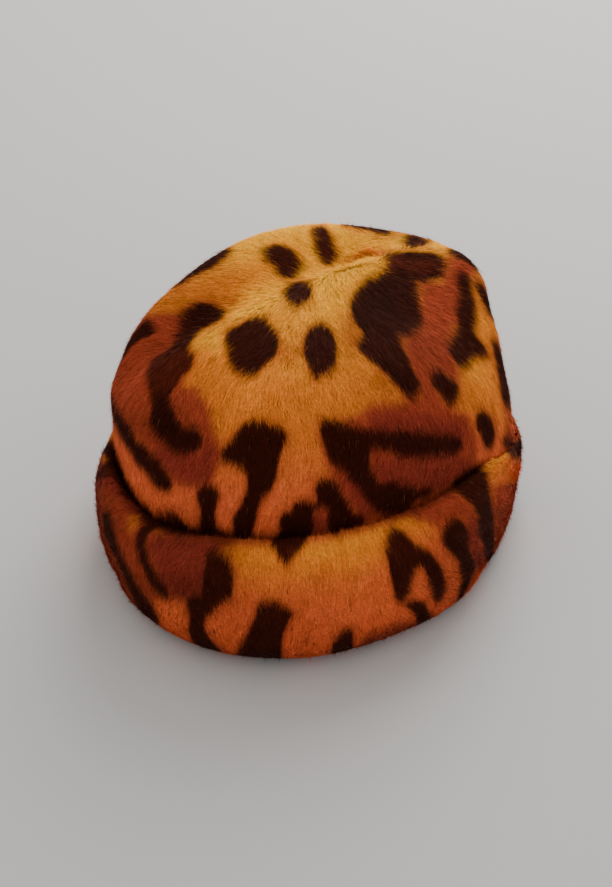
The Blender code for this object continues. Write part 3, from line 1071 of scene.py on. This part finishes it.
def grow(name, face, angles_of, a, b, rng):
    """One piece of joined hairs, each a bent kite that is widest half way along."""
    order = np.lexsort((np.round(np.degrees(a) / 6.0), np.round(b * 14.0)))
    a, b = a[order], b[order]
    count = len(a)
    length = HAIR_LENGTH * np.clip(rng.normal(1.0, 0.22, count), 0.45, 1.6)
    if face is CUFF:
        length = length * (1.0 - 0.5 * smooth(math.radians(78.0), math.radians(105.0), b))
    root, normal0 = face.look("place", a, b), unit(face.look("normal", a, b))
    sway = rng.normal(0.0, 0.13, count)
    way0 = turned(tangent(face.look("comb", a, b), normal0), normal0, sway)
    a1, b1 = angles_of(root + way0 * (0.5 * length)[:, None])
    mid, normal1 = face.look("place", a1, b1), unit(face.look("normal", a1, b1))
    way1 = turned(tangent(face.look("comb", a1, b1), normal1), normal1,
                  sway + rng.normal(0.0, 0.12, count))
    a2, b2 = angles_of(mid + way1 * (0.5 * length)[:, None])
    tip, normal2 = face.look("place", a2, b2), unit(face.look("normal", a2, b2))
    cell = np.floor((root + rng.normal(0.0, 0.0006, root.shape)) / 0.0042).astype(np.int64)
    tuft = lattice(cell, 71)
    tuft_side = (lattice(cell, 72) - 0.5) * 0.0016
    stand = np.abs(rng.normal(0.0, 1.0, count))
    lift1 = 0.0002 + 0.0005 * rng.random(count) + 0.0003 * tuft
    stray = 0.0024 * smooth(0.92, 1.0, rng.random(count))
    lift2 = 0.0002 + 0.0006 * stand + 0.0004 * tuft + stray
    side = np.cross(way1, normal1)
    root = root - normal0 * PILE_DEPTH * 0.8
    mid = mid + normal1 * lift1[:, None] + side * tuft_side[:, None]
    tip = tip + normal2 * lift2[:, None] + side * (2.0 * tuft_side)[:, None]
    roll = rng.normal(0.0, 0.35, count)[:, None]
    wide = side * np.cos(roll) + normal1 * np.sin(roll)
    guard = 0.75 * (rng.random(count) < 0.008)[:, None]
    half = (HAIR_HALF_WIDTH * rng.uniform(0.7, 1.3, count))[:, None] * (1.0 - 0.6 * guard)
    points = np.stack((root, mid - wide * half, mid + wide * half, tip), axis=1)
    points[..., 2] = np.maximum(points[..., 2], 0.0004)
    # Each hair takes its print a little up or down its own length
    carry = rng.normal(0.0, 0.0008, count)[:, None]
    bright = np.exp(rng.normal(0.0, 0.13, count)) * (0.90 + 0.20 * tuft)
    colour = np.zeros((count, 4, 3))
    # painted shade: each hair is darker towards its root, down among the other hairs, and paler at
    # its tip
    for p, w, level, own in ((root, way0, 0.45, (0,)), (mid, way1, 0.95, (1, 2)),
                             (tip, way1, 1.10, (3,))):
        tint = mix(fur_colour(face, *angles_of(p + w * carry)), GUARD_HAIR, guard)
        tint = tint * (level * bright)[:, None]
        for k in own:
            colour[:, k] = tint
    first = np.arange(count)[:, None] * 4
    loops = (first + np.array((0, 2, 1, 1, 2, 3))).ravel()
    totals = np.full(2 * count, 3)
    return mesh_piece(name, points.reshape(-1, 3), loops, totals,
                      np.clip(colour.reshape(-1, 3), 0.0, 1.0), (HAIR_MATERIAL,),
                      uv=hair_cells(count).reshape(-1, 2))


def crown_shows(places):
    """1 above the fold between crown and cuff, 0 where the cuff hides the crown."""
    return smooth(-0.012, -0.006, above_crest(places))


def cuff_shows(places):
    """1 on the cuff clear of the floor."""
    return smooth(0.0010, 0.0030, places[..., 2])


def dress(piece):
    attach(piece, "root")


def grow_fur(node, face, angles_of, shows, pieces):
    """The fur of one node in joined pieces, each over its own stretch of directions."""
    a, b = sow(face, HAIRS_PER_PIECE * pieces, shows, RNG)
    share = np.argsort(a, kind="stable")
    for k in range(pieces):
        part = share[k * HAIRS_PER_PIECE:(k + 1) * HAIRS_PER_PIECE]
        dress(grow("%s_fur_%d" % (node, k + 1), face, angles_of, a[part], b[part], RNG))


crown_base = crown_skin()
cuff_base = cuff_skin()
for piece, node in ((crown_base, "crown"), (cuff_base, "cuff")):
    dress(piece)
    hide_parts(node)
grow_fur("crown", CROWN, crown_angles, crown_shows, CROWN_HAIR_PIECES)
grow_fur("cuff", CUFF, cuff_angles, cuff_shows, CUFF_HAIR_PIECES)


# Stage, in metres and watts

FLOOR_HALF = 3.0
KEY_PLACE = Vector((0.34, 0.94, 0.92))
KEY_AIM = Vector((0.0, 0.0, 0.08))
KEY_SIZE = 1.0
KEY_POWER = 18.0
SKY_COLOUR = (1.0, 0.98, 0.96, 1.0)
SKY_STRENGTH = 0.93


def make_floor():
    mesh = bpy.data.meshes.new("floor")
    half = FLOOR_HALF
    mesh.from_pydata([(-half, -half, 0), (half, -half, 0), (half, half, 0), (-half, half, 0)],
                     [], [(0, 1, 2, 3)])
    floor = bpy.data.objects.new("floor", mesh)
    bpy.context.scene.collection.objects.link(floor)
    mesh.materials.append(floor_material("pale_floor"))


def make_key():
    light = bpy.data.lights.new("key", "AREA")
    light.shape = "DISK"
    light.size = KEY_SIZE
    light.energy = KEY_POWER
    lamp = bpy.data.objects.new("key", light)
    lamp.location = KEY_PLACE
    lamp.rotation_euler = (KEY_AIM - KEY_PLACE).to_track_quat("-Z", "Y").to_euler()
    bpy.context.scene.collection.objects.link(lamp)


make_floor()
make_key()
world = bpy.data.worlds.new("studio")
world.use_nodes = True
set_inputs(world.node_tree.nodes["Background"], {"Color": SKY_COLOUR, "Strength": SKY_STRENGTH})
bpy.context.scene.world = world

lens = bpy.data.cameras.new("front_camera")
lens.sensor_fit = "VERTICAL"
lens.sensor_height = SENSOR
lens.sensor_width = SENSOR
lens.lens = FOCAL_PIXELS * SENSOR / PICTURE_H
camera = bpy.data.objects.new("front_camera", lens)
camera.location = Vector(CAMERA_PLACE)
camera.rotation_euler = Vector(VIEW_FORWARD).to_track_quat("-Z", "Y").to_euler()
bpy.context.scene.collection.objects.link(camera)
bpy.context.scene.camera = camera
